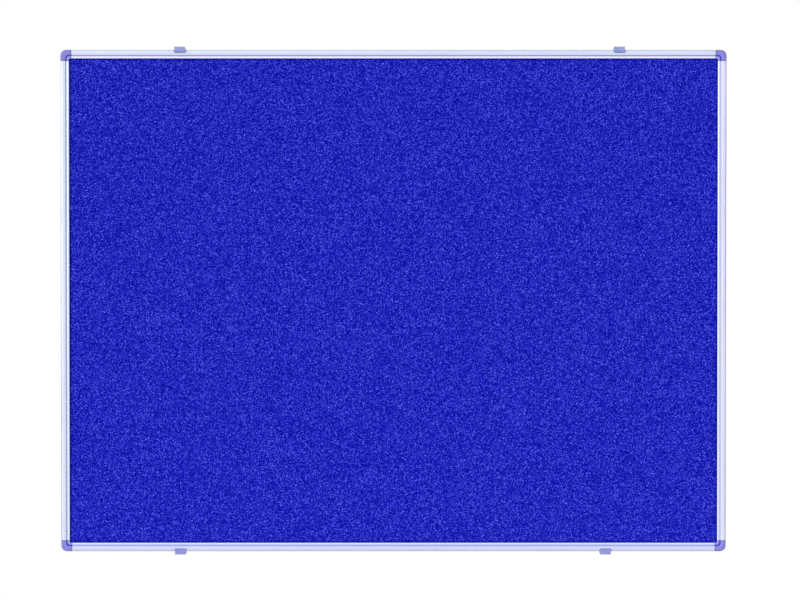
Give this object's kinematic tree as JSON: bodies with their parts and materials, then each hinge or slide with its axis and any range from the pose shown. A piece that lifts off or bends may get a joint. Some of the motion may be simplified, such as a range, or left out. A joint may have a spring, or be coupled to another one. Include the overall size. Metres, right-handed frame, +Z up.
{
  "type": "pinboard",
  "caption": "Wall hung felt pinboard in a frame of hollow aluminium rails with moulded plastic corners and wall clips that slide along the top and bottom rails.",
  "frame": {"origin": "the middle of the board's outline, on the wall that its clips stand against", "axes": "+X to the right seen from the front, +Y into the wall, +Z up; the felt faces -Y"},
  "size_m": [1.218, 0.0216, 0.9292],
  "materials": {
    "anodised_aluminium": "satin silver anodised extrusion with faint lengthwise lines",
    "corner_plastic": "moulded plastic, fine satin texture, lavender blue",
    "clip_plastic": "moulded plastic, satin, pale blue",
    "felt": "needled felt, deep royal blue, finely mottled",
    "softboard": "soft wood fibre board, about 250 kg/m3",
    "hardboard": "thin brown hardboard, smooth side out",
    "zinc_plated_steel": "bright zinc plating"
  },
  "bodies": {
    "board": {"top_rail": "anodised_aluminium", "bottom_rail": "anodised_aluminium", "left_rail": "anodised_aluminium", "right_rail": "anodised_aluminium", "corner_top_left": "corner_plastic", "corner_top_right": "corner_plastic", "corner_bottom_left": "corner_plastic", "corner_bottom_right": "corner_plastic", "felt_facing": "felt", "softboard_core": "softboard", "backing_sheet": "hardboard", "top_rail_screw_left": "zinc_plated_steel", "top_rail_screw_right": "zinc_plated_steel", "bottom_rail_screw_left": "zinc_plated_steel", "bottom_rail_screw_right": "zinc_plated_steel", "left_rail_screw_top": "zinc_plated_steel", "left_rail_screw_bottom": "zinc_plated_steel", "right_rail_screw_top": "zinc_plated_steel", "right_rail_screw_bottom": "zinc_plated_steel"},
    "top_left_clip": {"wall_clip_top_left": "clip_plastic"},
    "top_right_clip": {"wall_clip_top_right": "clip_plastic"},
    "bottom_left_clip": {"wall_clip_bottom_left": "clip_plastic"},
    "bottom_right_clip": {"wall_clip_bottom_right": "clip_plastic"}
  },
  "joints": [
    {"name": "top_left_clip_slide", "type": "slide", "parent": "board", "child": "top_left_clip", "axis": [1, 0, 0], "range_m": [-0.1761, 0.3787]},
    {"name": "top_right_clip_slide", "type": "slide", "parent": "board", "child": "top_right_clip", "axis": [1, 0, 0], "range_m": [-0.4014, 0.1534]},
    {"name": "bottom_left_clip_slide", "type": "slide", "parent": "board", "child": "bottom_left_clip", "axis": [1, 0, 0], "range_m": [-0.176, 0.3788]},
    {"name": "bottom_right_clip_slide", "type": "slide", "parent": "board", "child": "bottom_right_clip", "axis": [1, 0, 0], "range_m": [-0.3769, 0.1779]}
  ]
}
